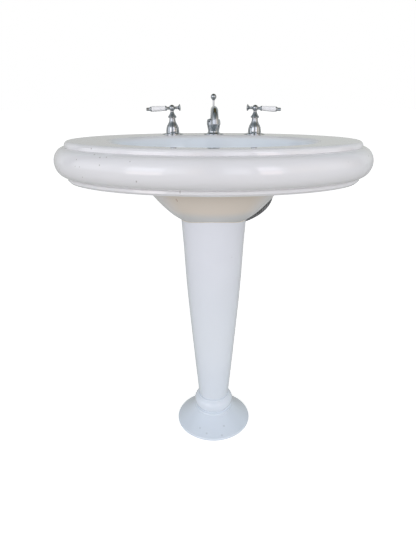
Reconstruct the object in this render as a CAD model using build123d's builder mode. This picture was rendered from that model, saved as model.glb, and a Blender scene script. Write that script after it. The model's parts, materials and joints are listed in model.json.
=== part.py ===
from build123d import *
import math
import os

# Pedestal sink with a widespread tap set and a pop-up waste.
# The origin is on the floor, under the middle of the basin's oval. -Y is the front and +Z is up.
# The pedestal stands a little in front of it, under the waste.

os.makedirs("parts", exist_ok=True)

# ------------------------------------------------------------------ driving dimensions (mm)
rim_height = 812.0          # floor to the flat deck
oval_half_width = 355.8     # oval of the upright band round the deck
oval_half_depth = 210.8
roll_proud = 27.7           # the rolled rim stands this far outside the band
roll_half_height = 34.3
roll_centre_z = rim_height - 47.1
bead_bottom_z = rim_height - 94.6
deck_thickness = 14.0
china_wall = 11.0
hollow_half_height = roll_half_height - 4   # of the hollow inside the roll

pedestal_y = -28.0          # the pedestal, the bowl and the waste share this upright axis
bowl_floor_z = 624.0        # inside of the bowl at the waste
waste_hole_radius = 21.5

column_top_radius = 81.1
column_wall = 11.0
neck_radius = 42.8          # the column's foot end, above the collar
foot_radius = 109.0
pipe_slot_width = 76.0
pipe_slot_bottom = 250.0

tap_spacing = 112.0         # each valve's axis from the middle
tap_y = 160.0
valve_hole_radius = 14.0
spout_hole_radius = 17.5
valve_shank_radius = 10.45  # G 1/2 thread, outside
spout_shank_radius = 8.0
spout_tube_radius = 8.9
handle_height = 66.6        # the ball's centre above the deck
lever_droop = 3.0           # degrees below level
spout_turn = 2.4            # degrees that the spout was left turned to the right

lift_rod_radius = 2.4
lift_rod_behind_spout = 14.8
lift_travel = 38.0
pivot_z = 540.0
pivot_ball_arm = 32.0       # from the waste's axis back to the pivot ball

hose_diameter = 10.5
outlet_reach = 34.0         # from a valve's axis to the end of its side outlet

deck_z = rim_height
lift_rod_y = tap_y + lift_rod_behind_spout
pivot_ball_y = pedestal_y + pivot_ball_arm
pivot_back_arm = lift_rod_y - pivot_ball_y
half_tilt = lift_travel / pivot_back_arm / 2
stopper_travel = lift_travel * pivot_ball_arm / pivot_back_arm
pedestal_axis = Axis((0, pedestal_y, 0), (0, 0, 1))


def save(piece, name):
    """Label a finished piece and write it to its own file."""
    piece.part.label = name
    export_step(piece.part, f"parts/{name}.step")


def upright(x, y, z):
    """A vertical plane through an axis: its x is the radius and its y is the height."""
    return Plane(origin=(x, y, z), x_dir=(1, 0, 0), z_dir=(0, -1, 0))


def along(point, direction):
    """A plane holding an axis: its x is the radius and its y runs along the axis."""
    axis = Vector(*direction).normalized()
    side = axis.cross(Vector(0, 1, 0))
    if side.length < 0.1:
        side = Vector(1, 0, 0)
    return Plane(origin=point, x_dir=side, z_dir=side.cross(axis))


def turned(plane, outline, rounding=0.0):
    """A turned piece: the outline's (radius, height) corners spun round the plane's y axis."""
    with BuildPart() as piece:
        with BuildSketch(plane) as section:
            with BuildLine():
                Polyline(*outline, close=True)
            make_face()
            if rounding:
                outer = [v for v in section.vertices() if plane.to_local_coords(v.center()).X > 0.01]
                fillet(outer, rounding)
        revolve(axis=Axis(plane.origin, plane.y_dir))
    return piece


# ------------------------------------------------------------------ basin
def oval_loft(levels):
    """A smooth solid through ovals, each given as (height, half width, half depth)."""
    with BuildPart() as body:
        for z, half_width, half_depth in levels:
            with BuildSketch(Plane((0, pedestal_y, z))):
                Ellipse(half_width, half_depth)
        loft()
    return body.part


def bowl_form(grow):
    """The bowl's outer form as one solid, with every face moved out by grow."""
    levels = (
        (611, 36, 36),
        (618, 60, 56),
        (627, 82, 70),
        (641, 104, 84),
        (668, 133, 102),
        (700, 161, 117),
        (745, 199, 132),
        (776, 229, 141.5),
        (808, 258, 150),
    )
    side = 0.7 * grow
    return oval_loft([(z - side, width + side, depth + side) for z, width, depth in levels])


# the bowl's inside, and the soft lip by which it opens to the deck
bowl_hollow = oval_loft(
    (
        (bowl_floor_z, 40, 38),
        (630.5, 59, 54),
        (641, 82, 68),
        (660, 110, 86),
        (690, 140, 104),
        (735, 180, 120),
        (780, 220, 134),
        (800, 237, 140),
    )
)
bowl_lip = oval_loft(((800, 237, 140), (806.5, 242, 144), (rim_height + 0.2, 253, 154)))


with BuildPart() as basin:
    # the rolled rim, hollow from below, with the upright band over it and the bead under it
    with BuildLine() as rim_path:
        EllipticalCenterArc((0, 0), oval_half_width, oval_half_depth, 0, arc_size=360)
    with BuildSketch(upright(oval_half_width, 0, 0)) as rim_section:
        with BuildLine():
            Polyline(
                (-11, bead_bottom_z),
                (-11, roll_centre_z - hollow_half_height),
            )
            ThreePointArc(
                (-11, roll_centre_z - hollow_half_height),
                (roll_proud - china_wall, roll_centre_z),
                (-11, roll_centre_z + hollow_half_height),
            )
            Polyline(
                (-11, roll_centre_z + hollow_half_height),
                (-14, rim_height - deck_thickness),
                (-34, rim_height - deck_thickness),
                (-34, rim_height),
                (-9, rim_height),
            )
            RadiusArc((-9, rim_height), (0, rim_height - 8.5), 9.5)
            Polyline(
                (0, rim_height - 8.5),
                (0.5, roll_centre_z + roll_half_height),
                (-1, roll_centre_z + roll_half_height),
            )
            EllipticalCenterArc(
                (-1, roll_centre_z),
                roll_proud + 1,
                roll_half_height,
                -90,
                arc_size=180,
            )
            Polyline(
                (-1, roll_centre_z - roll_half_height),
                (-1, bead_bottom_z + 12),
                (0.6, bead_bottom_z + 10.5),
                (0.8, bead_bottom_z + 5),
                (-4, bead_bottom_z),
                (-11, bead_bottom_z),
            )
        make_face()
    sweep(path=rim_path.wire())
    with BuildSketch(Plane.XY.offset(rim_height - deck_thickness)):
        Ellipse(oval_half_width - 22, oval_half_depth - 22)
    extrude(amount=deck_thickness)
    add(bowl_form(0))
    add(bowl_hollow, mode=Mode.SUBTRACT)
    add(bowl_lip, mode=Mode.SUBTRACT)
    # the waste hole and the three tap holes
    with Locations((0, pedestal_y, bowl_floor_z)):
        Hole(waste_hole_radius, depth=60)
    with Locations((-tap_spacing, tap_y, deck_z), (tap_spacing, tap_y, deck_z)):
        Hole(valve_hole_radius, depth=40)
    with Locations((0, tap_y, deck_z)):
        Hole(spout_hole_radius, depth=40)
save(basin, "basin")

# ------------------------------------------------------------------ pedestal
with BuildPart() as pedestal:
    with BuildSketch(upright(0, pedestal_y, 0)):
        with BuildLine():
            # foot: a low bead, a shallow hollow cone and a small ring under the collar
            Line((foot_radius - 16, 0), (foot_radius - 3, 0))
            RadiusArc((foot_radius - 3, 0), (foot_radius - 5, 9), -5.2)
            ThreePointArc((foot_radius - 5, 9), (80, 25.5), (55, 46))
            RadiusArc((55, 46), (52, 51.5), -3.6)
            Line((52, 51.5), (49, 53.5))
            # collar: a tall round roll with a thin lip at its top
            ThreePointArc((49, 53.5), (56, 71.5), (47.7, 88.8))
            RadiusArc((47.7, 88.8), (neck_radius, 93.5), -4.5)
            # column: a slow taper, fullest above the middle
            Spline(
                (neck_radius, 93.5),
                (48.5, 156),
                (58.6, 277),
                (67.4, 388),
                (74.0, 493),
                (77.2, 560),
                (column_top_radius, 625),
                (81.9, 672),
            )
            # inside
            Polyline(
                (81.9, 672),
                (81.9 - column_wall, 672),
                (77.2 - column_wall, 560),
                (67.4 - column_wall, 388),
                (58.6 - column_wall, 277),
                (neck_radius - column_wall, 110),
                (neck_radius - column_wall, 58),
                (foot_radius - 24, 8),
                (foot_radius - 16, 0),
            )
        make_face()
    revolve(axis=pedestal_axis)
    # the top is cut to the bowl's own form, with room for the bedding bead
    add(bowl_form(1.4), mode=Mode.SUBTRACT)
    # open at the back for the pipes
    with BuildSketch(Plane.XZ.offset(-pedestal_y)):
        with Locations((0, pipe_slot_bottom + 350)):
            SlotOverall(700, pipe_slot_width, rotation=90)
    extrude(amount=-120, mode=Mode.SUBTRACT)
save(pedestal, "pedestal")

with BuildPart() as bedding_bead:
    with BuildSketch(Plane((0, pedestal_y, 610))):
        Circle(column_top_radius - 0.8)
        Circle(column_top_radius - 7, mode=Mode.SUBTRACT)
        with Locations((0, 60)):
            Rectangle(pipe_slot_width + 6, 120, mode=Mode.SUBTRACT)
    extrude(amount=60)
    add(bowl_form(1.4), mode=Mode.INTERSECT)
    add(bowl_form(0), mode=Mode.SUBTRACT)
save(bedding_bead, "bedding_bead")


# ------------------------------------------------------------------ taps
def threaded_nut(plane, across_flats, height, bore):
    with BuildPart() as nut:
        with BuildSketch(plane):
            RegularPolygon(across_flats / 2, 6, major_radius=False)
            Circle(bore, mode=Mode.SUBTRACT)
        extrude(amount=height)
        chamfer(nut.faces().sort_by(Axis.Z)[-1].outer_wire().edges(), 0.8)
    return nut


def tap(name, side, outlet_direction):
    """One valve with its bell, clamp collar, fastenings and lever handle."""
    x = side * tap_spacing
    axis_plane = upright(x, tap_y, deck_z)
    valve_axis = Axis((x, tap_y, deck_z), (0, 0, 1))

    # bell with its flange, hollow
    with BuildPart() as escutcheon:
        with BuildSketch(axis_plane):
            with BuildLine():
                Polyline((14.2, 0), (28.8, 0), (28.8, 1.0))
                Spline((28.8, 1.0), (23, 2.3), (17.8, 3.4), tangents=((-1, 0.2), (-1, 0.15)))
                Spline(
                    (17.8, 3.4), (17.8, 8), (17.2, 14), (15.7, 20), (12.9, 25.5), (9.9, 31), (8.4, 36),
                    (8, 41), tangents=((0, 1), (-0.04, 1)),
                )
                Polyline((8, 41), (7.0, 41), (7.3, 33), (11, 25), (14.2, 16), (14.2, 0))
            make_face()
        revolve(axis=valve_axis)
    save(escutcheon, f"{name}_escutcheon")

    # clamp collar: two cones base to base, screwed on the valve over the bell
    collar = turned(
        axis_plane,
        ((6.85, 41.1), (8.6, 41.1), (11.8, 43.2), (11.8, 44.4), (7.4, 50.7), (6.85, 50.7)),
    )
    save(collar, f"{name}_collar")

    # brass valve body: barrel through the deck, side outlet, threaded inlet
    outlet = Vector(*outlet_direction).normalized()
    outlet_plane = Plane(origin=(x, tap_y, deck_z - 55), z_dir=outlet)
    with BuildPart() as valve_body:
        with BuildSketch(axis_plane):
            with BuildLine():
                Polyline(
                    (0, -42), (0, -6), (4.2, -6), (4.2, 49), (6.8, 49), (6.8, 29), (valve_shank_radius, 24),
                    (valve_shank_radius, -40), (12, -42), (12, -66), (valve_shank_radius, -68),
                    (valve_shank_radius, -80), (9.5, -80), (9.5, -84), (valve_shank_radius, -84),
                    (valve_shank_radius, -104), (7, -104), (7, -42), close=True,
                )
            make_face()
        revolve(axis=valve_axis)
        with BuildSketch(outlet_plane):
            Circle(6.4)
        extrude(amount=outlet_reach)
        with BuildSketch(axis_plane):
            with BuildLine():
                Polyline((0, -104.5), (7, -104.5), (7, -42), (0, -42), close=True)
            make_face()
        revolve(axis=valve_axis, mode=Mode.SUBTRACT)
        with BuildSketch(outlet_plane):
            Circle(3.6)
        extrude(amount=outlet_reach + 1, mode=Mode.SUBTRACT)
    save(valve_body, f"{name}_valve_body")

    deck_washer = turned(
        axis_plane,
        ((valve_shank_radius + 0.3, -17), (18.5, -17), (18.5, -14), (valve_shank_radius + 0.3, -14)),
    )
    save(deck_washer, f"{name}_deck_washer")
    lock_nut = threaded_nut(Plane((x, tap_y, deck_z - 24)), 31, 7, valve_shank_radius + 0.05)
    save(lock_nut, f"{name}_lock_nut")

    # handle: everything below turns with the stem
    ball_radius = 8.2
    ball = Vector(x, tap_y, deck_z + handle_height)
    droop = math.radians(lever_droop)
    outward = Vector(side * math.cos(droop), 0, -math.sin(droop))
    inward = -outward
    stem = turned(
        axis_plane,
        ((0, -5.5), (4.15, -5.5), (4.15, 49.5), (3.2, 51), (3.2, 62), (0, 62)),
    )
    save(stem, f"{name}_stem")
    with BuildPart() as hub:
        with BuildSketch(axis_plane):
            with BuildLine():
                Polyline((0, 51.2), (7.15, 51.2), (4.4, 57), (4.4, 60), (0, 60), (0, 51.2))
            make_face()
        revolve(axis=valve_axis)
        with Locations(Location(ball)):
            Sphere(ball_radius)
        with BuildSketch(Plane(origin=ball, z_dir=outward)):
            Circle(3.6)
        extrude(amount=11.5)
        with BuildSketch(Plane(origin=ball, z_dir=inward)):
            Circle(2.9)
        extrude(amount=10.5)
        with BuildSketch(Plane.XY.offset(deck_z + 50)):
            with Locations((x, tap_y)):
                Circle(3.25)
        extrude(amount=12.1, mode=Mode.SUBTRACT)
    save(hub, f"{name}_handle_hub")

    lever = along(ball, outward)
    ferrule = turned(
        lever,
        ((2.05, 11.5), (3.2, 11.5), (4.2, 13.2), (6.5, 16), (6.7, 17), (6.3, 17.4), (2.05, 17.4)),
    )
    save(ferrule, f"{name}_lever_ferrule")
    with BuildPart() as grip:
        with BuildSketch(lever):
            with BuildLine():
                Polyline((2.05, 17.4), (5.6, 17.4))
                RadiusArc((5.6, 17.4), (6.2, 18.2), 0.9)
                Line((6.2, 18.2), (7.5, 53.6))
                RadiusArc((7.5, 53.6), (6.4, 54.8), 1.2)
                Polyline((6.4, 54.8), (2.05, 54.8), (2.05, 17.4))
            make_face()
        revolve(axis=Axis(ball, outward))
    save(grip, f"{name}_lever_grip")
    tip = turned(
        lever,
        (
            (0, 54.8), (6.4, 54.8), (6.9, 55.8), (4.5, 60.2), (4.2, 61.5), (4.3, 67.6), (3.4, 69),
            (0, 69),
        ),
    )
    save(tip, f"{name}_lever_tip")
    core = turned(lever, ((0, 11.5), (2.0, 11.5), (2.0, 54.8), (0, 54.8)))
    save(core, f"{name}_lever_core")

    with BuildPart() as finial:
        with BuildSketch(along(ball, inward)):
            with BuildLine():
                Polyline((0, 10.5), (4.2, 10.5), (4.2, 11.8), (2.7, 12.6))
                Spline((2.7, 12.6), (4.2, 16), (8.7, 20.4), tangents=((0.05, 1), (1, 0.8)))
                Line((8.7, 20.4), (8.8, 21.4))
                Spline((8.8, 21.4), (5, 22.9), (0, 23.3), tangents=((-1, 0.6), (-1, 0)))
                Line((0, 23.3), (0, 10.5))
            make_face()
        revolve(axis=Axis(ball, inward))
    save(finial, f"{name}_handle_finial")


tap("hot", -1, (0, -1, -1))
tap("cold", 1, (1, 0, -1))

# ------------------------------------------------------------------ spout
spout_plane = upright(0, tap_y, deck_z)
spout_axis = Axis((0, tap_y, deck_z), (0, 0, 1))
turn = math.radians(spout_turn)
spout_front = Vector(math.sin(turn), -math.cos(turn), 0)
# vertical plane of the bent spout: x runs forward over the bowl and y runs up
spout_bend_plane = Plane(
    origin=(0, tap_y, deck_z), x_dir=spout_front, z_dir=spout_front.cross(Vector(0, 0, 1))
)

with BuildPart() as spout:
    with BuildSketch(spout_plane):
        with BuildLine():
            Polyline((0, 3.1), (17.5, 3.1))
            Spline(
                (17.5, 3.1), (15.6, 5.6), (15.3, 10), (17, 18.5), (18.3, 26), (18.5, 33),
                tangents=((-1, 0.6), (-0.05, 1)),
            )
            ThreePointArc((18.5, 33), (17.2, 37), (13.8, 39.3))
            ThreePointArc((13.8, 39.3), (7, 40.9), (0, 41.5))
            Line((0, 41.5), (0, 3.1))
        make_face()
    revolve(axis=spout_axis)
    # boss at the back of the body, round the lift rod's way
    with Locations((0, lift_rod_y, deck_z + 3.1)):
        Cone(5.2, 4, 32, align=(Align.CENTER, Align.CENTER, Align.MIN))
    with BuildLine(spout_bend_plane) as spout_line:
        FilletPolyline((3, 18), (9, 66), (85, 61), (93, 29), radius=(34, 32))
    with BuildSketch(Plane(spout_line.line @ 0, z_dir=spout_line.line % 0)):
        Circle(spout_tube_radius)
    sweep(path=spout_line.wire())
    mouth_plane = Plane(spout_line.line @ 1, z_dir=spout_line.line % 1)
    with BuildSketch(mouth_plane.offset(-9)):
        Circle(10.2)
    extrude(amount=9)
    # waterway, and the seat for the aerator
    with BuildSketch(Plane(spout_line.line @ 0, z_dir=spout_line.line % 0)):
        Circle(5.5)
    sweep(path=spout_line.wire(), mode=Mode.SUBTRACT)
    with BuildSketch(mouth_plane.offset(-8)):
        Circle(8.4)
    extrude(amount=9, mode=Mode.SUBTRACT)
    with BuildSketch(Plane.XY.offset(deck_z + 3)):
        with Locations((0, tap_y)):
            Circle(spout_shank_radius)
    extrude(amount=19, mode=Mode.SUBTRACT)
    # the lift rod's way down, at the back of the body
    with BuildSketch(Plane.XY.offset(deck_z)):
        with Locations((0, lift_rod_y)):
            Circle(lift_rod_radius + 0.08)
    extrude(amount=60, mode=Mode.SUBTRACT)
    # blind hole of a grub screw in the left shoulder
    with BuildSketch(Plane((-8.7, tap_y - 10.9, deck_z + 33), z_dir=(-0.62, -0.78, 0))):
        Circle(1.8)
    extrude(amount=8, mode=Mode.SUBTRACT)
save(spout, "spout")

aerator_plane = along(spout_line.line @ 1, spout_line.line % 1)
aerator = turned(
    aerator_plane,
    ((4.5, -7.9), (8.35, -7.9), (8.35, -0.4), (7.4, 0), (6.6, -0.8), (6.6, -1.6), (4.5, -1.6)),
)
save(aerator, "aerator")

with BuildPart() as spout_flange:
    with BuildSketch(spout_plane):
        with BuildLine():
            Polyline(
                (spout_shank_radius + 0.3, 0), (27.4, 0), (27.4, 1), (24, 2.2), (18.5, 3),
                (spout_shank_radius + 0.3, 3), close=True,
            )
        make_face()
    revolve(axis=spout_axis)
    with BuildSketch(Plane.XY.offset(deck_z)):
        with Locations((0, lift_rod_y)):
            Circle(lift_rod_radius + 0.5)
    extrude(amount=4, mode=Mode.SUBTRACT)
save(spout_flange, "spout_flange")

spout_shank = turned(
    spout_plane,
    ((5.5, -103.9), (spout_shank_radius, -103.9), (spout_shank_radius, 22), (5.5, 22)),
)
save(spout_shank, "spout_shank")


def horseshoe(bottom, thickness):
    """A washer under the deck, open at the back so that the lift rod passes."""
    with BuildPart() as washer:
        with BuildSketch(Plane.XY.offset(bottom)):
            with Locations((0, tap_y)):
                Circle(23)
                Circle(spout_shank_radius + 0.3, mode=Mode.SUBTRACT)
            with Locations((0, tap_y + 20)):
                Rectangle(9, 24, mode=Mode.SUBTRACT)
        extrude(amount=thickness)
    return washer


under_deck = deck_z - deck_thickness
save(horseshoe(under_deck - 3, 3), "spout_gasket")
save(horseshoe(under_deck - 5, 2), "spout_washer")
spout_lock_nut = threaded_nut(Plane((0, tap_y, under_deck - 12)), 20, 7, spout_shank_radius + 0.05)
save(spout_lock_nut, "spout_lock_nut")

# the tee under the shank, with two legs down for the hoses
tee_z = deck_z - 112
tee_leg_x = 12
tee_leg = 24
with BuildPart() as tee:
    with BuildSketch(Plane.XY.offset(tee_z - 9)):
        with Locations((0, tap_y)):
            Circle(11)
    extrude(amount=27)
    with BuildSketch(Plane.YZ.offset(-19)):
        with Locations((tap_y, tee_z)):
            Circle(7.4)
    extrude(amount=38)
    with BuildSketch(Plane.XY.offset(tee_z - tee_leg)):
        with Locations((-tee_leg_x, tap_y), (tee_leg_x, tap_y)):
            Circle(6.4)
    extrude(amount=tee_leg)
    with BuildSketch(Plane.XY.offset(tee_z + 8)):
        with Locations((0, tap_y)):
            Circle(spout_shank_radius + 0.02)
    extrude(amount=20, mode=Mode.SUBTRACT)
    with BuildSketch(Plane.XY.offset(tee_z)):
        with Locations((0, tap_y)):
            Circle(4.5)
    extrude(amount=10, mode=Mode.SUBTRACT)
    with BuildSketch(Plane.YZ.offset(-15)):
        with Locations((tap_y, tee_z)):
            Circle(3.8)
    extrude(amount=30, mode=Mode.SUBTRACT)
    with BuildSketch(Plane.XY.offset(tee_z - tee_leg - 1)):
        with Locations((-tee_leg_x, tap_y), (tee_leg_x, tap_y)):
            Circle(3.4)
    extrude(amount=tee_leg + 1, mode=Mode.SUBTRACT)
save(tee, "tee")

# ------------------------------------------------------------------ hoses
# Each hose hangs in a loop from a valve's outlet to one leg of the tee.
leg_end_z = tee_z - tee_leg
hose_routes = {
    "hot": [
        (-112, 135.92, 732.92),
        (-112, 114.75, 711.75),
        (-111.5, 101, 688),
        (-110, 94, 656),
        (-108, 94, 622),
        (-91, 105, 592),
        (-61, 124, 580),
        (-32, 144, 590),
        (-15, 158, 618),
        (-12, 160, 648),
        (-12, 160, leg_end_z - 0.1),
    ],
    "cold": [
        (136.08, 160, 732.92),
        (157.25, 160, 711.75),
        (168, 159.5, 684),
        (170, 159, 652),
        (163, 158, 621),
        (139, 157, 594),
        (106, 156, 575),
        (69, 155.5, 563),
        (34, 156.5, 574),
        (13, 159, 604),
        (12, 160, 641),
        (12, 160, leg_end_z - 0.1),
    ],
}


def bend_radii(route):
    """The largest arc that each corner's runs allow, as 0.45 of the shorter run's tangent length."""
    points = [Vector(*point) for point in route]
    radii = []
    for before, corner, after in zip(points, points[1:], points[2:]):
        turn_angle = math.radians((corner - before).get_angle(after - corner))
        shorter = min((corner - before).length, (after - corner).length)
        radii.append(0.45 * shorter / math.tan(turn_angle / 2))
    return radii


for name, route in hose_routes.items():
    radii = bend_radii(route)
    with BuildPart() as hose:
        with BuildLine() as hose_line:
            FilletPolyline(*route, radius=radii)
        start = Vector(*route[0])
        with BuildSketch(Plane(start, z_dir=Vector(*route[1]) - start)):
            Circle(hose_diameter / 2)
        sweep(path=hose_line.wire())
    save(hose, f"{name}_hose")
    length = hose_line.wire().length
    section = math.pi * hose_diameter**2 / 4
    print(name, "hose", round(length, 1), "mm; volume ratio", round(hose.part.volume / section / length, 4))
    print("   radii in diameters:", [round(radius / hose_diameter, 1) for radius in radii])

    # a hex nut and a crimped sleeve on each end of the hose
    with BuildPart() as nuts:
        for end, inner in ((route[0], route[1]), (route[-1], route[-2])):
            run = (Vector(*inner) - Vector(*end)).normalized()
            end_plane = Plane(Vector(*end), z_dir=run)
            with BuildSketch(end_plane.offset(-8)):
                RegularPolygon(7.9, 6, major_radius=False)
                Circle(6.45, mode=Mode.SUBTRACT)
            extrude(amount=8)
            with BuildSketch(end_plane):
                Circle(7.6)
                Circle(hose_diameter / 2 + 0.02, mode=Mode.SUBTRACT)
            extrude(amount=4)
    save(nuts, f"{name}_hose_nuts")
    with BuildPart() as sleeves:
        for end, inner in ((route[0], route[1]), (route[-1], route[-2])):
            run = (Vector(*inner) - Vector(*end)).normalized()
            with BuildSketch(Plane(Vector(*end), z_dir=run).offset(4)):
                Circle(6.5)
                Circle(hose_diameter / 2 + 0.02, mode=Mode.SUBTRACT)
            extrude(amount=11)
    save(sleeves, f"{name}_hose_sleeves")

# ------------------------------------------------------------------ pop-up waste
waste_plane = upright(0, pedestal_y, 0)
china_bottom = 611.0
body_top = bowl_floor_z - 3
body_bottom = 500.0
tailpiece_radius = 15.875   # 1 1/4 in tube
tailpiece_bottom = 392.0
screwed_radius = 15.6       # the tailpiece's top end, screwed into the body

drain_flange = turned(
    waste_plane,
    (
        (14.8, body_top - 26), (16.9, body_top - 26), (16.9, bowl_floor_z + 0.2), (31, bowl_floor_z + 0.2),
        (31, bowl_floor_z + 1.6), (27, bowl_floor_z + 2.8), (18, bowl_floor_z + 2.8),
        (14.8, bowl_floor_z - 1),
    ),
)
save(drain_flange, "drain_flange")


def facing_back(distance):
    """An upright plane that faces back, this far behind the waste's axis, at the pivot's height."""
    return Plane((0, pedestal_y + distance, pivot_z), x_dir=(-1, 0, 0), z_dir=(0, 1, 0))


with BuildPart() as drain_body:
    with BuildSketch(waste_plane):
        with BuildLine():
            Polyline(
                (17.0, body_top), (20.5, body_top), (20.5, body_bottom),
                (screwed_radius + 0.05, body_bottom), (screwed_radius + 0.05, body_bottom + 16),
                (17.0, body_bottom + 17), close=True,
            )
        make_face()
    revolve(axis=pedestal_axis)
    # port at the back for the pivot rod's ball
    with BuildSketch(facing_back(18.5)):
        Circle(10.5)
    extrude(amount=17.5)
    with BuildSketch(facing_back(14)):
        Circle(7.0)
    extrude(amount=23, mode=Mode.SUBTRACT)
save(drain_body, "drain_body")

drain_gasket = turned(
    waste_plane,
    ((20.6, china_bottom - 0.1), (32, china_bottom - 0.1), (30, china_bottom - 6), (20.6, china_bottom - 10)),
)
save(drain_gasket, "drain_gasket")
drain_washer = turned(
    waste_plane,
    (
        (20.6, china_bottom - 12), (32, china_bottom - 12), (32, china_bottom - 10.2),
        (20.6, china_bottom - 10.2),
    ),
)
save(drain_washer, "drain_washer")
save(threaded_nut(Plane((0, pedestal_y, china_bottom - 21)), 52, 8.8, 20.55), "drain_lock_nut")

tailpiece = turned(
    waste_plane,
    (
        (14.6, tailpiece_bottom), (tailpiece_radius, tailpiece_bottom),
        (tailpiece_radius, body_bottom - 0.1), (screwed_radius, body_bottom - 0.1),
        (screwed_radius, body_bottom + 15), (14.6, body_bottom + 15),
    ),
)
save(tailpiece, "tailpiece")

# stopper, shown raised; the pivot rod's tip passes through the eye at its foot
stopper_lift = stopper_travel
stopper_base = bowl_floor_z + 3.2 + stopper_lift
eye_z = pivot_z + pivot_ball_arm * math.tan(half_tilt)
with BuildPart() as stopper:
    with BuildSketch(waste_plane):
        with BuildLine():
            Polyline((0, eye_z + 8), (2.6, eye_z + 8), (2.6, stopper_base - 2), (11, stopper_base))
            Polyline((11, stopper_base), (11, stopper_base + 1.4), (21, stopper_base + 1.4))
            Line((21, stopper_base + 1.4), (21, stopper_base + 2.6))
            Spline(
                (21, stopper_base + 2.6), (12, stopper_base + 5), (0, stopper_base + 6),
                tangents=((-0.7, 1), (-1, 0)),
            )
            Line((0, stopper_base + 6), (0, eye_z + 8))
        make_face()
    revolve(axis=pedestal_axis)
    with BuildSketch(Plane((0, pedestal_y - 2, eye_z), x_dir=(-1, 0, 0), z_dir=(0, 1, 0))):
        RectangleRounded(14, 20, 3)
        Circle(4.2, mode=Mode.SUBTRACT)
    extrude(amount=4)
    # guide fins inside the waste
    with BuildSketch(Plane((0, pedestal_y, eye_z + 30))):
        with PolarLocations(7, 3, 90):
            Rectangle(13.6, 1.6)
    extrude(amount=26)
save(stopper, "stopper")
stopper_seal = turned(
    waste_plane,
    (
        (11.05, stopper_base - 0.1), (19.5, stopper_base - 0.1), (20.5, stopper_base + 1.35),
        (11.05, stopper_base + 1.35),
    ),
)
save(stopper_seal, "stopper_seal")

# pivot rod through its ball, tilted back end down while the lift rod is down
ball_centre = Vector(0, pivot_ball_y, pivot_z)
rod_back = Vector(0, math.cos(half_tilt), -math.sin(half_tilt))
rod_plane = Plane(ball_centre, x_dir=(1, 0, 0), z_dir=rod_back)
with BuildPart() as pivot_rod:
    with BuildSketch(rod_plane.offset(-37)):
        Circle(2.4)
    extrude(amount=37 + pivot_back_arm + 16)
    with Locations(Location(ball_centre)):
        Sphere(6.5)
save(pivot_rod, "pivot_rod")

with BuildPart() as pivot_nut:
    with BuildSketch(facing_back(28)):
        RegularPolygon(13, 6, major_radius=False)
    extrude(amount=13)
    with BuildSketch(facing_back(28)):
        Circle(10.55)
    extrude(amount=8.2, mode=Mode.SUBTRACT)
    with BuildSketch(facing_back(28)):
        Circle(5.4)
    extrude(amount=14, mode=Mode.SUBTRACT)
save(pivot_nut, "pivot_nut")

# lift rod with its knob, and the strap that hangs from it
knob_z = 906.5
clevis_top = 648.0
clevis_height = 14.0
strap_width = 12.0
strap_thickness = 1.6
rod_meets_strap = pivot_z - pivot_back_arm * math.tan(half_tilt)

lift_rod = turned(
    upright(0, lift_rod_y, 0),
    ((0, clevis_top - clevis_height + 1), (lift_rod_radius, clevis_top - clevis_height + 1),
     (lift_rod_radius, knob_z - 9), (0, knob_z - 9)),
)
save(lift_rod, "lift_rod")

with BuildPart() as lift_knob:
    with Locations((0, lift_rod_y, knob_z)):
        Sphere(7.7)
    with BuildSketch(Plane.XY.offset(knob_z - 9)):
        with Locations((0, lift_rod_y)):
            Circle(2.9)
    with BuildSketch(Plane.XY.offset(knob_z - 5.5)):
        with Locations((0, lift_rod_y)):
            Circle(5.2)
    loft()
save(lift_knob, "lift_knob")

with BuildPart() as clevis_strap:
    with BuildSketch(Plane.XY.offset(clevis_top - clevis_height)):
        with Locations((0, lift_rod_y)):
            RectangleRounded(strap_width, 11, 2)
    extrude(amount=clevis_height)
    with BuildSketch(Plane.XZ.offset(-lift_rod_y + strap_thickness / 2)):
        with Locations((0, (clevis_top - clevis_height + rod_meets_strap - 16) / 2)):
            RectangleRounded(strap_width, clevis_top - clevis_height - rod_meets_strap + 18, 3)
        for step in range(7):
            with Locations((0, rod_meets_strap + step * 14)):
                Circle(3.1, mode=Mode.SUBTRACT)
    extrude(amount=-strap_thickness)
    with BuildSketch(Plane.XY.offset(clevis_top - clevis_height + 0.95)):
        with Locations((0, lift_rod_y)):
            Circle(lift_rod_radius + 0.05)
    extrude(amount=clevis_height, mode=Mode.SUBTRACT)
    with BuildSketch(Plane.YZ.offset(lift_rod_radius)):
        with Locations((lift_rod_y, clevis_top - 6)):
            Circle(2.0)
    extrude(amount=10, mode=Mode.SUBTRACT)
save(clevis_strap, "clevis_strap")

clevis_screw = turned(
    along((lift_rod_radius, lift_rod_y, clevis_top - 6), (1, 0, 0)),
    ((0, 0.1), (1.95, 0.1), (1.95, 7), (5.2, 7), (5.6, 7.6), (5.6, 11), (5.2, 11.6), (0, 11.6)),
)
save(clevis_screw, "clevis_screw")

# spring clip: two leaves on the pivot rod, one each side of the strap
clip_plane = rod_plane.offset(pivot_back_arm / math.cos(half_tilt))
with BuildPart() as spring_clip:
    for gap in (-4.6, 4.6):
        with BuildSketch(clip_plane.offset(gap - 0.4)):
            with Locations((2.5, 0)):
                Rectangle(15, 10)
            Circle(2.42, mode=Mode.SUBTRACT)
        extrude(amount=0.8)
    with BuildSketch(clip_plane.offset(-5)):
        with Locations((9.6, 0)):
            Rectangle(0.8, 10)
    extrude(amount=10)
save(spring_clip, "spring_clip")
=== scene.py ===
import json
import math

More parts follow.
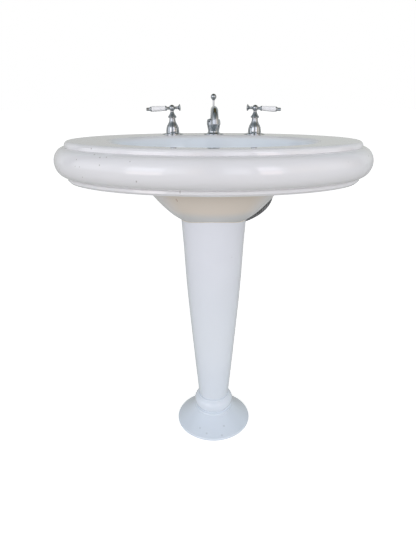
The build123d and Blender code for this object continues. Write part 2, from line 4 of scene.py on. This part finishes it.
import bpy
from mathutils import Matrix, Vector


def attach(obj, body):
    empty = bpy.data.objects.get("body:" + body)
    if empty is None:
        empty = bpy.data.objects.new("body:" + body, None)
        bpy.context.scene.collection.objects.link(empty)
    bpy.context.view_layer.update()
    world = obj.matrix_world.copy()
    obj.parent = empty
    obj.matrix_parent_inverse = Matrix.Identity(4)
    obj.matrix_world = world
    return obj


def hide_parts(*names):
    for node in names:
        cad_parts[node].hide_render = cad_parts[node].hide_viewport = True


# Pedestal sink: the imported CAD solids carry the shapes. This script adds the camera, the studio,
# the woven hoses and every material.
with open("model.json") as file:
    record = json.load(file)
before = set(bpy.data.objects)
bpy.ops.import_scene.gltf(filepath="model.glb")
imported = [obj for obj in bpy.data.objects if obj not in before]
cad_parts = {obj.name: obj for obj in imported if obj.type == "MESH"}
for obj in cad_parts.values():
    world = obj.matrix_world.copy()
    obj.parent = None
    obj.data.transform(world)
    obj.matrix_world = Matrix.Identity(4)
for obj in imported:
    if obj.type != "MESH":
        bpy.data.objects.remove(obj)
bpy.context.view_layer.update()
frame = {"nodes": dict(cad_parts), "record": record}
nodes = frame["nodes"]
scene = bpy.context.scene
millimetre = 0.001


# ------------------------------------------------------------------ camera
camera_pitch = 23.11        # degrees below level
camera_data = bpy.data.cameras.new("camera")
camera_data.sensor_width = 36.0
camera_data.lens = 27.85
camera_data.shift_x = -0.0101       # the sink stands a little right of the middle of the picture
camera_data.shift_y = 0.0039
camera = bpy.data.objects.new("camera", camera_data)
camera.location = (0.0, -1.0841, 0.9072)
camera.rotation_euler = (math.radians(90 - camera_pitch), 0.0, 0.0)
scene.collection.objects.link(camera)
scene.camera = camera


# ------------------------------------------------------------------ small helpers
def make_node(tree, kind, inputs=None, **settings):
    """Add a shader node; an input is either a value or another node's output."""
    made = tree.nodes.new("ShaderNode" + kind)
    for name, value in settings.items():
        setattr(made, name, value)
    for name, value in (inputs or {}).items():
        if isinstance(value, bpy.types.NodeSocket):
            tree.links.new(value, made.inputs[name])
        else:
            made.inputs[name].default_value = value
    return made


def maths(tree, operation, *values, clamp=False):
    made = make_node(tree, "Math", dict(enumerate(values)), operation=operation)
    made.use_clamp = clamp
    return made.outputs[0]


def ramp(tree, factor, *stops, smooth=False):
    """A colour ramp through (place, colour) stops; a plain number is a grey."""
    made = make_node(tree, "ValToRGB", {"Fac": factor})
    if smooth:
        made.color_ramp.interpolation = "EASE"
    elements = made.color_ramp.elements
    while len(elements) < len(stops):
        elements.new(0.5)
    for element, (place, colour) in zip(elements, stops):
        element.position = place
        element.color = (*colour, 1) if hasattr(colour, "__len__") else (colour, colour, colour, 1)
    return made.outputs["Color"]


def blend_colours(tree, factor, first, second, kind="MIX"):
    """Mix two colours by a factor; each may be a plain value or another node's output."""
    made = make_node(tree, "Mix", data_type="RGBA", blend_type=kind)
    sockets = ((made.inputs[0], factor), (made.inputs[6], first), (made.inputs[7], second))
    for socket, value in sockets:
        if isinstance(value, bpy.types.NodeSocket):
            tree.links.new(value, socket)
        elif hasattr(value, "__len__"):
            socket.default_value = (*value, 1)
        else:
            socket.default_value = value
    return made.outputs[2]


def multiply(tree, first, second):
    return maths(tree, "MULTIPLY", first, second)


def noise(tree, place, scale, detail=3.0, roughness=0.5, distortion=0.0):
    settings = {
        "Vector": place,
        "Scale": scale,
        "Detail": detail,
        "Roughness": roughness,
        "Distortion": distortion,
    }
    return make_node(tree, "TexNoise", settings).outputs["Fac"]


def bump(tree, height, distance, strength=1.0, normal=None):
    inputs = {"Height": height, "Distance": distance, "Strength": strength}
    if normal is not None:
        inputs["Normal"] = normal
    return make_node(tree, "Bump", inputs).outputs["Normal"]


def new_material(name, **constants):
    """A material with a Principled shader, its constants set on the shader's own sockets."""
    material = bpy.data.materials.new(name)
    material.use_nodes = True
    tree = material.node_tree
    shader = tree.nodes["Principled BSDF"]
    for socket, value in constants.items():
        shader.inputs[socket.replace("_", " ")].default_value = value
    place = make_node(tree, "TexCoord").outputs["Object"]
    return material, tree, shader, place


def finish_material(tree, shader, colour=None, roughness=None, normal=None):
    for socket, value in (("Base Color", colour), ("Roughness", roughness), ("Normal", normal)):
        if value is not None:
            tree.links.new(value, shader.inputs[socket])


# ------------------------------------------------------------------ materials
# marks on the old glaze, each (centre, half sizes) in millimetres
basin_specks = (
    ((-257.7, -144.5, 806.2), (1.6, 1.6, 1.6)),
    ((-247.2, -163.3, 796.5), (1.9, 1.9, 1.9)),
    ((-289.5, -150.8, 784.7), (1.3, 1.3, 1.3)),
    ((-232.8, -177.4, 792.4), (1.7, 1.7, 1.7)),
    ((-217.9, -182.8, 793.5), (1.4, 1.4, 1.4)),
    ((-232.8, -187.7, 778.3), (1.5, 1.5, 1.5)),
    ((-293.2, -154.1, 771.0), (1.2, 1.2, 1.2)),
    ((-281.8, -162.0, 771.1), (1.2, 1.2, 1.2)),
    ((-343.9, -105.6, 757.8), (1.4, 1.4, 1.4)),
    ((-277.9, -161.7, 749.7), (1.3, 1.3, 1.3)),
    ((-166.2, -207.1, 788.3), (1.2, 1.2, 1.2)),
    ((345.3, -95.6, 785.1), (1.5, 1.5, 1.5)),
    ((-68.6, -207.4, 727.7), (1.0, 3.0, 3.5)),
    ((-154.7, -215.6, 750.2), (1.5, 2.5, 2.2)),
)
basin_rust = (
    ((-84.2, -124.6, 693.2), (1.3, 2.5, 2.6)),
    ((-82.2, -123.4, 690.0), (1.2, 2.5, 2.4)),
)
foot_marks = (
    ((-39.6, -105.2, 20.6), (2.4, 2.4, 2.4)),
    ((30.0, -102.2, 25.5), (3.2, 2.4, 2.4)),
    ((-20.0, -120.9, 15.0), (3.0, 2.6, 2.6)),
    ((24.0, -124.9, 11.7), (2.6, 2.6, 2.6)),
)
# painted shade: the dark inside of the spout's grub screw hole, painted black on the chrome
grub_hole_painted_shade = (((-10.2, 147.2, 845.0), (3.2, 3.2, 2.0)),)
mark_reach = 1.4            # a mark fades out at this many half sizes

# stains: (marks, strength, colour)
basin_stains = (
    (basin_specks, 0.55, (0.17, 0.13, 0.09)),
    (basin_rust, 0.70, (0.42, 0.24, 0.14)),
)
foot_stains = ((foot_marks, 0.45, (0.45, 0.50, 0.52)),)

# the bowl's oval, seen from above, in metres
bowl_centre_y = -0.028
bowl_half_width = 0.27
bowl_half_depth = 0.155


def mark_mask(tree, place, marks):
    """One on each mark, fading to nothing round it."""
    mask = 0.0
    for centre, sizes in marks:
        centre_here = [c * millimetre for c in centre]
        sizes_here = [size * millimetre for size in sizes]
        offset = make_node(tree, "VectorMath", {0: place, 1: centre_here}, operation="SUBTRACT")
        scaled = make_node(tree, "VectorMath", {0: offset.outputs[0], 1: sizes_here}, operation="DIVIDE")
        length = make_node(tree, "VectorMath", {0: scaled.outputs[0]}, operation="LENGTH")
        near = maths(tree, "SUBTRACT", mark_reach, length.outputs["Value"], clamp=True)
        mask = maths(tree, "MAXIMUM", mask, near)
    return mask


def squared(tree, value):
    return maths(tree, "POWER", maths(tree, "ABSOLUTE", value), 2.0)


def bowl_painted_light(tree, place, colour, underside_glaze_and_reflection):
    """Paint light on the bowl: painted shade and a cool painted reflection make it a little bluer
    inside, and it is cream below, partly the body showing through the thin glaze and partly a painted
    warm reflection.
    """
    at = make_node(tree, "SeparateXYZ", {"Vector": place})
    facing = make_node(tree, "SeparateXYZ", {"Vector": make_node(tree, "TexCoord").outputs["Normal"]})
    along_x = maths(tree, "DIVIDE", at.outputs["X"], bowl_half_width)
    from_centre = maths(tree, "ADD", at.outputs["Y"], -bowl_centre_y)
    along_y = maths(tree, "DIVIDE", from_centre, bowl_half_depth)
    reach = maths(tree, "SQRT", maths(tree, "ADD", squared(tree, along_x), squared(tree, along_y)))
    within = ramp(tree, reach, (0.92, 1.0), (1.0, 0.0))

    faces_up = ramp(tree, facing.outputs["Z"], (0.0, 0.0), (0.10, 1.0))
    below_deck = ramp(tree, at.outputs["Z"], (0.802, 1.0), (0.810, 0.0))
    inside_shade_and_reflection = multiply(tree, multiply(tree, within, faces_up), below_deck)
    # painted shade and cool reflection: the bowl's inside is painted a little darker and bluer
    colour = blend_colours(tree, inside_shade_and_reflection, colour, (0.79, 0.835, 0.875))

    # painted light below the bowl: the cream stands partly for the body showing through the thin glaze
    # and partly for a painted warm reflection; it is weaker towards the sides and turns to a painted
    # grey shade round the joint with the pedestal
    faces_down = ramp(tree, maths(tree, "ADD", facing.outputs["Z"], 0.5), (0.30, 1.0), (0.47, 0.0))
    low = ramp(tree, at.outputs["Z"], (0.700, 1.0), (0.790, 0.0))
    painted_underside_mask = multiply(tree, multiply(tree, within, faces_down), low)
    sideways = maths(tree, "ABSOLUTE", facing.outputs["X"])
    strength = ramp(tree, sideways, (0.36, 0.92), (0.66, 0.20), smooth=True)
    joint_painted_shade = (0.66, 0.655, 0.64)
    cream = ramp(tree, at.outputs["Z"], (0.644, joint_painted_shade), (0.666, underside_glaze_and_reflection), smooth=True)
    return blend_colours(tree, multiply(tree, painted_underside_mask, strength), colour, cream)


def china_material(name, tint, underside_glaze_and_reflection=None, painted_light_by_height=(), stains=(), pitted=0.75):
    """Old white glazed china: soft blotches, pinholes in the glaze, light wear and stains, and, where
    asked, painted light by height and painted light on the bowl.
    """
    material, tree, shader, place = new_material(
        name, Roughness=0.06, IOR=1.5, Coat_Weight=0.8, Coat_Roughness=0.02, Specular_IOR_Level=0.5
    )
    cloud = noise(tree, place, 3.2, 4, 0.55, 0.4)
    darker = [c * 0.955 for c in tint]
    colour = ramp(tree, cloud, (0.30, darker), (0.70, tint), smooth=True)
    if painted_light_by_height:
        # painted light: the glaze is painted brightest at the column's middle, bluer at the foot and a
        # little darker under the bowl
        height = make_node(tree, "SeparateXYZ", {"Vector": place}).outputs["Z"]
        tints = ramp(tree, height, *painted_light_by_height, smooth=True)
        colour = blend_colours(tree, 1.0, colour, tints, "MULTIPLY")
    fine = noise(tree, place, 38, 3, 0.6)
    colour = blend_colours(tree, multiply(tree, fine, 0.10), colour, (0.80, 0.78, 0.74))
    # pinholes: a small dark dot in a few cells of a loose grid
    cells = make_node(tree, "TexVoronoi", {"Vector": place, "Scale": 42.0, "Randomness": 1.0})
    cell_number = make_node(tree, "SeparateColor", {"Color": cells.outputs["Color"]}).outputs[0]
    chosen = maths(tree, "GREATER_THAN", cell_number, 0.86)
    dot = ramp(tree, cells.outputs["Distance"], (0.018, 1.0), (0.040, 0.0))
    pinholes = multiply(tree, dot, chosen)
    colour = blend_colours(tree, multiply(tree, pinholes, pitted), colour, (0.22, 0.19, 0.15))
    if underside_glaze_and_reflection:
        colour = bowl_painted_light(tree, place, colour, underside_glaze_and_reflection)
    for marks, strength, stain in stains:
        mask = mark_mask(tree, place, marks)
        colour = blend_colours(tree, multiply(tree, mask, strength), colour, stain)
    worn = noise(tree, place, 9, 5, 0.65)
    roughness = ramp(tree, worn, (0.35, 0.035), (0.75, 0.085))
    waves = noise(tree, place, 16, 2, 0.4)
    normal = bump(tree, waves, 0.9 * millimetre, 0.35)
    normal = bump(tree, pinholes, 0.4 * millimetre, -0.6, normal)
    finish_material(tree, shader, colour, roughness, normal)
    return material


def metal_material(name, colour, dull, rough, smudge, grain=0.0, speckle=0.0, holes=()):
    """Plated or bare metal: a little tarnish, smudges in the gloss, a light grain, and painted black
    shade in the given holes.
    """
    material, tree, shader, place = new_material(name, Metallic=1.0, Roughness=rough)
    cloud = noise(tree, place, 45, 5, 0.6, 0.3)
    base = ramp(tree, cloud, (0.35, dull), (0.62, colour))
    if speckle:
        spots = ramp(tree, noise(tree, place, 420, 2, 0.5), (0.62, 0.0), (0.70, speckle))
        base = blend_colours(tree, spots, base, (0.16, 0.12, 0.08))
    # painted shade: each given hole is painted black
    if holes:
        base = blend_colours(tree, mark_mask(tree, place, holes), base, (0.01, 0.01, 0.01))
    streaks = noise(tree, place, 160, 4, 0.7)
    roughness = ramp(tree, streaks, (0.30, rough), (0.80, smudge))
    normal = bump(tree, noise(tree, place, 900, 2, 0.5), 0.1 * millimetre, grain) if grain else None
    finish_material(tree, shader, base, roughness, normal)
    return material


# the bowl's underside is painted cream: partly the body through the thin glaze, partly a painted warm
# reflection, with painted shade at the joint
china = china_material(
    "white_china", (0.85, 0.838, 0.848), underside_glaze_and_reflection=(0.78, 0.69, 0.585), stains=basin_stains
)
pedestal_china = china_material(
    "pedestal_china",
    (0.86, 0.90, 0.95),
    # painted light: brighter at the column's middle, bluer at the foot, a little darker under the bowl
    painted_light_by_height=(
        (0.02, (0.915, 0.95, 0.985)),
        (0.12, (0.94, 0.96, 0.98)),
        (0.30, (0.99, 0.99, 0.99)),
        (0.58, (0.97, 0.945, 0.95)),
    ),
    stains=foot_stains,
)
porcelain = china_material("lever_porcelain", (0.99, 0.975, 0.97), pitted=0.1)
chrome_look = {"colour": (0.515, 0.54, 0.56), "dull": (0.44, 0.46, 0.48), "rough": 0.03, "smudge": 0.09}
chrome = metal_material("chrome_plate", **chrome_look)
spout_chrome = metal_material("spout_chrome", **chrome_look, holes=grub_hole_painted_shade)
brass = metal_material("old_brass", (0.70, 0.54, 0.28), (0.46, 0.34, 0.17), 0.25, 0.42, 0.35, 0.6)
steel = metal_material("plain_steel", (0.64, 0.65, 0.67), (0.48, 0.48, 0.49), 0.22, 0.38, 0.3, 0.35)


def rubber_material(name, light, dark):
    """A matt soft or plastic surface, cloudy and finely pitted."""
    material, tree, shader, place = new_material(name, Roughness=0.7)
    cloud = noise(tree, place, 120, 5, 0.65)
    colour = ramp(tree, cloud, (0.3, dark), (0.7, light))
    roughness = ramp(tree, cloud, (0.3, 0.55), (0.7, 0.8))
    normal = bump(tree, noise(tree, place, 700, 3), 0.3 * millimetre, 0.5)
    finish_material(tree, shader, colour, roughness, normal)
    return material


rubber = rubber_material("black_rubber", (0.075, 0.073, 0.070), (0.035, 0.034, 0.033))
plastic = rubber_material("white_plastic", (0.82, 0.81, 0.78), (0.74, 0.73, 0.69))
sealant = rubber_material("cream_sealant", (0.86, 0.80, 0.69), (0.76, 0.68, 0.55))

by_slot = {
    "china": china,
    "porcelain": porcelain,
    "chrome": chrome,
    "brass": brass,
    "steel": steel,
    "braid": steel,
    "rubber": rubber,
    "white_plastic": plastic,
    "sealant": sealant,
}
slot_of = {part["node"]: part["material_slot"] for part in frame["record"]["subparts"]}
for name, node in nodes.items():
    node.data.materials.clear()
    node.data.materials.append(by_slot[slot_of[name]])
nodes["pedestal"].data.materials[0] = pedestal_china
nodes["spout"].data.materials[0] = spout_chrome


# ------------------------------------------------------------------ hoses
hose_diameter = 10.5 * millimetre
core_inset = 0.45 * millimetre      # from the hose's outside to its rubber core
braid_inset = 0.28 * millimetre     # from the hose's outside to the middle of the braid
braid_step = 1.1 * millimetre       # between the braid's cross sections
# the points that pull each hose's centre line, from its valve to the tee
hose_routes = {
    "hot": (
        (-0.112, 0.13592, 0.73292),
        (-0.112, 0.11475, 0.71175),
        (-0.1115, 0.101, 0.688),
        (-0.110, 0.094, 0.656),
        (-0.108, 0.094, 0.622),
        (-0.091, 0.105, 0.592),
        (-0.061, 0.124, 0.580),
        (-0.032, 0.144, 0.590),
        (-0.015, 0.158, 0.618),
        (-0.012, 0.160, 0.648),
        (-0.012, 0.160, 0.6759),
    ),
    "cold": (
        (0.13608, 0.160, 0.73292),
        (0.15725, 0.160, 0.71175),
        (0.168, 0.1595, 0.684),
        (0.170, 0.159, 0.652),
        (0.163, 0.158, 0.621),
        (0.139, 0.157, 0.594),
        (0.106, 0.156, 0.575),
        (0.069, 0.1555, 0.563),
        (0.034, 0.1565, 0.574),
        (0.013, 0.159, 0.604),
        (0.012, 0.160, 0.641),
        (0.012, 0.160, 0.6759),
    ),
}


def route_curve(name, route):
    """A smooth curve pulled by the route's points, starting and ending on the outer two."""
    curve = bpy.data.curves.new(name, "CURVE")
    curve.dimensions = "3D"
    curve.resolution_u = 16
    spline = curve.splines.new("NURBS")
    spline.points.add(len(route) - 1)
    for point, place in zip(spline.points, route):
        point.co = (*place, 1.0)
    spline.order_u = 3
    spline.use_endpoint_u = True
    made = bpy.data.objects.new(name, curve)
    scene.collection.objects.link(made)
    return made


def points_on(curve_object):
    """The curve's own line as points, before it has any thickness."""
    bpy.context.view_layer.update()
    evaluated = curve_object.evaluated_get(bpy.context.evaluated_depsgraph_get())
    mesh = bpy.data.meshes.new_from_object(evaluated)
    line = [vertex.co.copy() for vertex in mesh.vertices]
    bpy.data.meshes.remove(mesh)
    return line


def evenly(line, step):
    """Points every step along a line."""
    lengths = [0.0]
    for first, second in zip(line, line[1:]):
        lengths.append(lengths[-1] + (second - first).length)
    count = max(2, round(lengths[-1] / step))
    places, index = [], 0
    for number in range(count + 1):
        wanted = lengths[-1] * number / count
        while index < len(line) - 2 and lengths[index + 1] < wanted:
            index += 1
        span = lengths[index + 1] - lengths[index]
        places.append(line[index].lerp(line[index + 1], (wanted - lengths[index]) / span))
    return places


def carried_frames(line):
    """Each point of the line with two directions square to it, which don't twist along the way."""
    frames = []
    side = None
    for index, point in enumerate(line):
        ahead = line[min(index + 1, len(line) - 1)]
        behind = line[max(index - 1, 0)]
        direction = (ahead - behind).normalized()
        if side is None:
            side = direction.orthogonal()
        side = (side - direction * side.dot(direction)).normalized()
        frames.append((point, side, direction.cross(side)))
    return frames


carriers = 12                       # ribbons of wire wound each way
ribbon_pitch = 30 * millimetre      # length of one turn
ribbon_width = 2.1 * millimetre
wire_proud = 0.14 * millimetre      # a wire's middle above the ribbon's grooves
wire_thickness = 0.12 * millimetre
weave_depth = 0.14 * millimetre
wires = 3                           # wires side by side in a ribbon


def is_dark(carrier, way):
    """Half of the ribbons wound one way and two thirds of the others are black."""
    return carrier % 2 == 0 if way == 1 else carrier % 3 != 2


def braid(name, line, radius):
    """Two families of ribbons wound both ways round the line, over and under each other."""
    frames = carried_frames(line)
    step = (line[1] - line[0]).length
    full_turn = 2 * math.pi
    lean = math.atan2(full_turn * radius, ribbon_pitch)
    spread = ribbon_width / math.cos(lean) / radius
    ring = 2 * wires + 1
    vertices, faces, shades = [], [], []
    for way in (1, -1):
        for carrier in range(carriers):
            start = full_turn * carrier / carriers
            first = len(vertices)
            for index, (point, side, other) in enumerate(frames):
                travelled = index * step
                turn = start + way * full_turn * travelled / ribbon_pitch
                crossing = 2 * carriers * travelled / ribbon_pitch
                lift = way * weave_depth * math.cos(math.pi * crossing)
                for edge in range(ring):
                    share = edge / (ring - 1) - 0.5
                    angle = turn + share * spread
                    proud = wire_proud if edge % 2 else 0.0
                    out = side * math.cos(angle) + other * math.sin(angle)
                    vertices.append(point + out * (radius + lift + proud))
            for index in range(len(frames) - 1):
                for edge in range(ring - 1):
                    corner = first + index * ring + edge
                    faces.append((corner, corner + 1, corner + 1 + ring, corner + ring))
                    shades.append(int(is_dark(carrier, way)))
    mesh = bpy.data.meshes.new(name)
    mesh.from_pydata(vertices, [], faces)
    for polygon, shade in zip(mesh.polygons, shades):
        polygon.material_index = shade
        polygon.use_smooth = True
    made = bpy.data.objects.new(name, mesh)
    scene.collection.objects.link(made)
    thick = made.modifiers.new("thickness", "SOLIDIFY")
    thick.thickness = wire_thickness
    thick.offset = -1
    return made


core_material = rubber_material("hose_core", (0.05, 0.05, 0.05), (0.02, 0.02, 0.02))
wire_material = metal_material("braid_wire", (0.72, 0.73, 0.76), (0.42, 0.43, 0.45), 0.20, 0.34, 0.3)
dark_wire = rubber_material("dark_braid", (0.06, 0.06, 0.065), (0.02, 0.02, 0.022))

for side, route in hose_routes.items():
    hose = route_curve(f"{side}_hose_core", route)
    line = evenly(points_on(hose), braid_step)
    hose.data.bevel_depth = hose_diameter / 2 - core_inset
    hose.data.bevel_resolution = 5
    hose.data.materials.append(core_material)
    weave = braid(f"{side}_hose_braid", line, hose_diameter / 2 - braid_inset)
    weave.data.materials.append(wire_material)
    weave.data.materials.append(dark_wire)
    for piece in (hose, weave):
        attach(piece, "sink")
    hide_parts(f"{side}_hose")


# ------------------------------------------------------------------ studio
light = {
    "overhead": (0.345, 0.393, 0.42),
    "front": (1.51, 1.54, 1.63),
    "back_left": (0.55, 0.555, 0.545),
    "back_right": (0.60, 0.615, 0.595),
    "below": (0.315, 0.32, 0.315),
    "window_left": (2.45, 2.45, 2.66),
    "window_right": (2.45, 2.30, 2.45),
    "ceiling": (0.12, 0.10, 0.05),
}


def flat_sheet(name, half_width, half_height):
    """A rectangle round its own origin, facing up, linked to the scene."""
    corners = [
        (-half_width, -half_height, 0),
        (half_width, -half_height, 0),
        (half_width, half_height, 0),
        (-half_width, half_height, 0),
    ]
    mesh = bpy.data.meshes.new(name)
    mesh.from_pydata(corners, [], [(0, 1, 2, 3)])
    made = bpy.data.objects.new(name, mesh)
    scene.collection.objects.link(made)
    return made


# a window from its sill to its head: warm below, a bar across the middle, cool above
pane_stops = (
    (0.37, (1.0, 0.91, 0.84)),
    (0.42, (0.72, 0.70, 0.70)),
    (0.47, (0.72, 0.71, 0.72)),
    (0.52, (0.96, 0.98, 1.0)),
)
aimed_at = Vector((0, 0, 0.8))


def window_card(name, centre, width, height):
    """A glowing upright card that shows only in reflections and as light."""
    made = flat_sheet(name, width / 2, height / 2)
    made.location = centre
    made.rotation_euler = (aimed_at - Vector(centre)).to_track_quat("Z", "Y").to_euler()
    material = bpy.data.materials.new(name)
    material.use_nodes = True
    tree = material.node_tree
    tree.nodes.clear()
    place = make_node(tree, "TexCoord").outputs["Object"]
    level = make_node(tree, "SeparateXYZ", {"Vector": place}).outputs["Y"]
    share = maths(tree, "ADD", maths(tree, "DIVIDE", level, height), 0.5)
    glow = blend_colours(tree, 1.0, light[name], ramp(tree, share, *pane_stops), "MULTIPLY")
    emission = make_node(tree, "Emission", {"Color": glow, "Strength": 1.0})
    make_node(tree, "OutputMaterial", {"Surface": emission.outputs[0]})
    made.data.materials.append(material)
    made.visible_camera = False


window_y = -3.5
window_card("window_left", (-2.50, window_y, 1.47), 1.55, 2.8)
window_card("window_right", (1.93, window_y, 1.75), 0.85, 2.9)

floor_half = 30.0


def floor_plane(name, height, paint, glow):
    """A wide mottled floor with a little light of its own."""
    made = flat_sheet(name, floor_half, floor_half)
    made.location.z = height
    material, tree, shader, place = new_material(name, Roughness=0.6, Specular_IOR_Level=0.2)
    mottle = noise(tree, place, 1.5, 4, 0.5)
    darker = [c * 0.97 for c in paint]
    finish_material(tree, shader, ramp(tree, mottle, (0.3, darker), (0.7, paint)))
    shader.inputs["Emission Color"].default_value = (*glow, 1)
    shader.inputs["Emission Strength"].default_value = 1.0
    made.data.materials.append(material)
    return made


# the camera sees a pale floor, while a greyer one gives the light from below
floor = floor_plane("floor", -0.5 * millimetre, (0.93, 0.93, 0.93), (0.62, 0.61, 0.60))
floor.visible_diffuse = False
floor.visible_glossy = False
under_floor = floor_plane("under_floor", -1.0 * millimetre, (0.30, 0.30, 0.30), light["below"])
under_floor.visible_camera = False

# The room's light: bright behind the camera, calmer behind the sink and overhead. The camera itself
# sees a plain white backdrop.
world = bpy.data.worlds.new("studio")
scene.world = world
world.use_nodes = True
tree = world.node_tree
tree.nodes.clear()
direction = make_node(tree, "TexCoord").outputs["Generated"]
towards = make_node(tree, "SeparateXYZ", {"Vector": direction}).outputs
frontness = maths(tree, "ADD", multiply(tree, towards["Y"], -0.5), 0.5)
rightness = maths(tree, "ADD", multiply(tree, towards["X"], 0.5), 0.5)
back = ramp(tree, rightness, (0.25, light["back_left"]), (0.75, light["back_right"]), smooth=True)
ahead = ramp(tree, frontness, (0.15, 0.0), (0.75, 1.0), smooth=True)
walls = blend_colours(tree, ahead, back, light["front"])
overhead = ramp(tree, towards["Z"], (0.25, 0.0), (0.85, 1.0), smooth=True)
sky = blend_colours(tree, overhead, walls, light["overhead"])

# upright bars of light and dark, as the things in a room make in chrome:
# (degrees right of straight behind the camera, colour)
navy = (0.02, 0.03, 0.05)
black = (0.10, 0.10, 0.10)
shadow = (0.07, 0.08, 0.09)
grey = (0.40, 0.41, 0.42)
pale = (0.76, 0.77, 0.77)
white = (0.80, 0.80, 0.80)
bars = (
    (-125, (0.50, 0.55, 0.58)),
    (-112, shadow),
    (-98, shadow),
    (-92, pale),
    (-58, pale),
    (-55, grey),
    (-51, grey),
    (-48, (0.76, 0.78, 0.80)),
    (-22, white),
    (-14, (0.78, 0.76, 0.72)),
    (-11, (0.45, 0.37, 0.26)),
    (-6, (0.40, 0.32, 0.22)),
    (-4, navy),
    (4, navy),
    (6, (0.72, 0.76, 0.80)),
    (17, (0.82, 0.82, 0.82)),
    (20, black),
    (23, black),
    (25, (0.78, 0.78, 0.78)),
    (37, white),
    (41, (0.46, 0.38, 0.26)),
    (60, (0.50, 0.42, 0.30)),
    (75, (0.70, 0.66, 0.60)),
    (90, (0.42, 0.33, 0.22)),
    (104, (0.16, 0.12, 0.08)),
    (112, (0.10, 0.09, 0.08)),
    (118, (0.60, 0.66, 0.70)),
    (130, (0.80, 0.84, 0.88)),
)
backwards = multiply(tree, towards["Y"], -1.0)
bearing = maths(tree, "ARCTAN2", towards["X"], backwards)
around = maths(tree, "ADD", maths(tree, "DIVIDE", bearing, 2 * math.pi), 0.5)
barred = ramp(tree, around, *[(0.5 + degrees / 360, colour) for degrees, colour in bars])
in_front = ramp(tree, frontness, (0.28, 0.0), (0.40, 0.88))
reflected = make_node(tree, "LightPath").outputs["Is Glossy Ray"]
sky = blend_colours(tree, multiply(tree, in_front, reflected), sky, barred, "MULTIPLY")

# a dark patch of ceiling just behind the zenith
ceiling_middle = (0.0, 0.30, 0.954)
near_it = make_node(tree, "VectorMath", {0: direction, 1: ceiling_middle}, operation="DOT_PRODUCT")
patch = ramp(tree, near_it.outputs["Value"], (0.84, 0.0), (0.92, 1.0), smooth=True)
sky = blend_colours(tree, patch, sky, light["ceiling"])

lit = make_node(tree, "Background", {"Color": sky, "Strength": 1.0})
plain = make_node(tree, "Background", {"Color": (1, 1, 1, 1), "Strength": 1.0})
seen = make_node(tree, "LightPath").outputs["Is Camera Ray"]
mixed = make_node(tree, "MixShader", {0: seen, 1: lit.outputs[0], 2: plain.outputs[0]})
make_node(tree, "OutputWorld", {"Surface": mixed.outputs[0]})

scene.view_settings.view_transform = "Standard"
